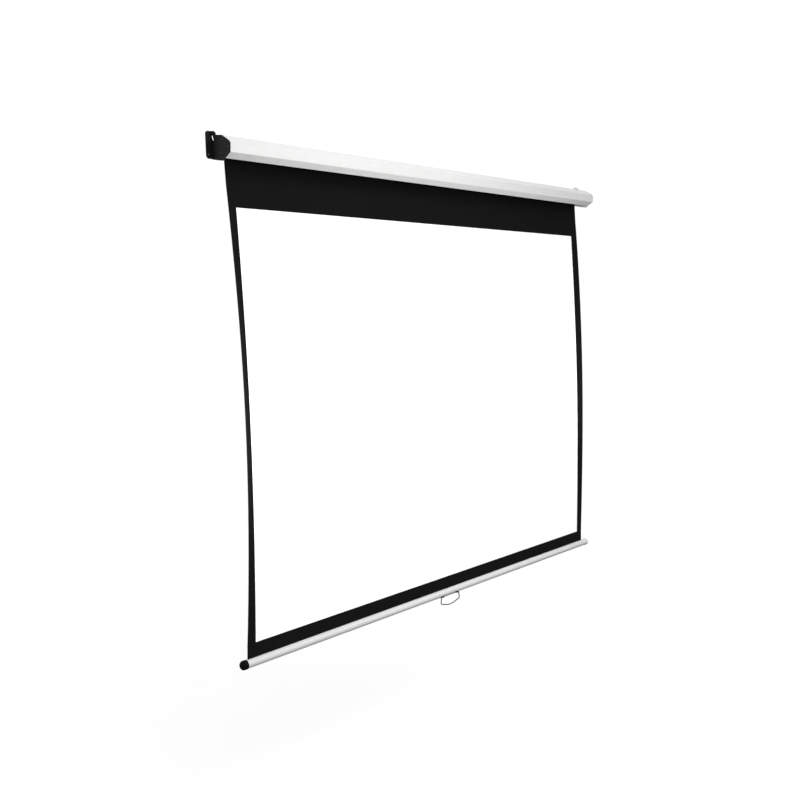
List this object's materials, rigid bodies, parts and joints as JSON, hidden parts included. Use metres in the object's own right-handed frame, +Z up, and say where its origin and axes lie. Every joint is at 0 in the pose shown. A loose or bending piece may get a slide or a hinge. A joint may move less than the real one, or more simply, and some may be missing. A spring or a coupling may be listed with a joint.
{
  "type": "pull down projector screen",
  "caption": "Wall mounted spring roller projector screen with a folded case, black bordered white fabric, weight bar and wire pull handle.",
  "frame": {"origin": "on the wall, on the flat back of the case, halfway along it", "axes": "+X along the case to the viewer's right, +Y into the wall, +Z up; the picture faces -Y"},
  "size_m": [2.215, 0.1117, 1.8876],
  "materials": {
    "case_paint": "satin white paint",
    "black_plastic": "matt black moulding",
    "pale_plastic": "matt pale grey moulding",
    "zinc_steel": "zinc plated",
    "dark_steel": "blackened steel",
    "spring_steel": "oiled spring wire",
    "tube_steel": "galvanised tube",
    "bush_plastic": "natural nylon",
    "screen_cloth": "matt white with black borders",
    "black_cloth": "matt black",
    "bar_paint": "satin pale grey paint",
    "wire_steel": "dark plated wire"
  },
  "bodies": {
    "housing": {"case_shell": "case_paint", "left_end_cap": "black_plastic", "right_end_cap": "pale_plastic", "left_end_bracket": "zinc_steel", "right_end_bracket": "zinc_steel", "left_cap_screw_1": "dark_steel", "left_cap_screw_2": "dark_steel", "left_cap_screw_3": "dark_steel", "right_cap_screw_1": "dark_steel", "right_cap_screw_2": "dark_steel", "right_cap_screw_3": "dark_steel", "idle_pin": "zinc_steel", "spindle_socket": "zinc_steel", "socket_screw_1": "dark_steel", "socket_screw_2": "dark_steel", "spindle": "zinc_steel", "ratchet_wheel": "zinc_steel", "spring_anchor_plug": "black_plastic", "torsion_spring": "spring_steel", "screen_fabric": "screen_cloth"},
    "roller": {"roller_tube": "tube_steel", "fabric_wrap": "black_cloth", "left_pin_bush": "bush_plastic", "roller_left_plug": "black_plastic", "roller_right_plug": "black_plastic", "spring_drive_plug": "black_plastic", "pawl_pin_1": "zinc_steel", "pawl_pin_2": "zinc_steel"},
    "pawl_1": {"pawl_1": "zinc_steel"},
    "pawl_2": {"pawl_2": "zinc_steel"},
    "weight_bar": {"weight_bar": "bar_paint", "left_bar_cap": "black_plastic", "right_bar_cap": "pale_plastic", "fabric_bottom_rod": "black_plastic", "handle_bracket": "dark_steel", "bracket_rivet_1": "zinc_steel", "bracket_rivet_2": "zinc_steel"},
    "handle": {"handle": "wire_steel"}
  },
  "joints": [
    {"name": "bar_slide", "type": "slide", "parent": "housing", "child": "weight_bar", "axis": [0, 0, 1], "range_m": [0, 1.7155], "deforming": ["screen_fabric"]},
    {"name": "roller_spin", "type": "hinge", "parent": "housing", "child": "roller", "pos_m": [0, -0.04357, 0.018], "axis": [1, 0, 0], "range_deg": [0, 3960]},
    {"name": "pawl_1_swing", "type": "hinge", "parent": "roller", "child": "pawl_1", "pos_m": [1.0591, -0.05418, 0.02861], "axis": [1, 0, 0], "range_deg": [0, 14]},
    {"name": "pawl_2_swing", "type": "hinge", "parent": "roller", "child": "pawl_2", "pos_m": [1.0591, -0.03296, 0.00739], "axis": [1, 0, 0], "range_deg": [0, 14]},
    {"name": "handle_swing", "type": "hinge", "parent": "weight_bar", "child": "handle", "pos_m": [0, -0.03788, -1.77286], "axis": [1, 0, 0], "range_deg": [-95, 48]}
  ],
  "couplings": [
    {"joint": "roller_spin", "follows": "bar_slide", "rad_per_m": 40.289}
  ]
}
